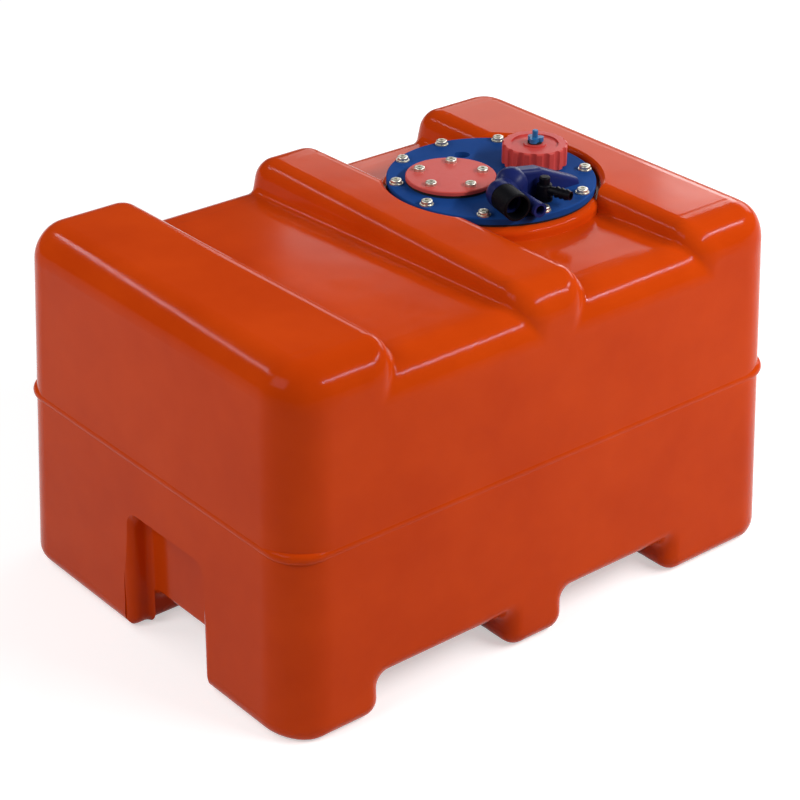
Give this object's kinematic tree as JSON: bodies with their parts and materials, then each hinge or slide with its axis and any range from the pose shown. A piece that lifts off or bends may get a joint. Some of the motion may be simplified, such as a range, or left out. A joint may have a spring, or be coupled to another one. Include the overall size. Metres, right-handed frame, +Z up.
{
  "type": "marine fuel tank",
  "caption": "Box-shaped moulded fuel tank with cross ridges and feet, and a round flange on top with a screw cap, a gauge cover, a filler elbow and a fuel outlet.",
  "frame": {"origin": "centre of the tank's footprint, on the surface that the feet stand on", "axes": "+X along the tank towards the flange, +Y across it towards the back, +Z up"},
  "size_m": [0.5098, 0.372, 0.3271],
  "materials": {
    "tank_plastic": "rotomoulded polyethylene, faint orange-peel",
    "plate_blue": "moulded, satin",
    "elbow_blue": "moulded, satin",
    "cover_red": "moulded, satin",
    "cap_red": "moulded, satin",
    "vent_blue": "moulded, satin",
    "seal_black": "moulded rubber",
    "sleeve_black": "moulded rubber",
    "outlet_black": "moulded, satin",
    "screw_steel": "stainless",
    "insert_brass": "turned",
    "tube_plastic": "extruded, natural"
  },
  "bodies": {
    "tank": {"tank_shell": "tank_plastic", "flange_inserts": "insert_brass", "flange_gasket": "seal_black", "flange_plate": "plate_blue", "flange_screws": "screw_steel", "flange_washers": "screw_steel", "sender_gasket": "seal_black", "sender_cover": "cover_red", "sender_screws": "screw_steel", "filler_elbow": "elbow_blue", "elbow_seal": "seal_black", "elbow_nut": "elbow_blue", "inlet_sleeve": "sleeve_black", "outlet_fitting": "outlet_black", "outlet_seal": "seal_black", "pickup_tube": "tube_plastic", "pickup_strainer": "tube_plastic"},
    "cap_ring": {"cap_seal": "seal_black"},
    "cap": {"filler_cap": "cap_red"},
    "vent_ring": {"vent_seal": "seal_black"},
    "vent": {"vent_screw": "vent_blue"}
  },
  "joints": [
    {"name": "cap_lift", "type": "slide", "parent": "tank", "child": "cap_ring", "axis": [0, 0, 1], "range_m": [0, 0.01]},
    {"name": "cap_turn", "type": "hinge", "parent": "cap_ring", "child": "cap", "pos_m": [0.152, 0.0135, 0.3], "axis": [0, 0, 1], "range_deg": [0, 900]},
    {"name": "vent_lift", "type": "slide", "parent": "cap", "child": "vent_ring", "axis": [0, 0, 1], "range_m": [0, 0.003]},
    {"name": "vent_turn", "type": "hinge", "parent": "vent_ring", "child": "vent", "pos_m": [0.152, 0.0135, 0.3], "axis": [0, 0, 1], "range_deg": [0, 720]}
  ],
  "couplings": [
    {"joint": "cap_turn", "follows": "cap_lift", "rad_per_m": 1570.8},
    {"joint": "vent_turn", "follows": "vent_lift", "rad_per_m": 4188.8}
  ]
}
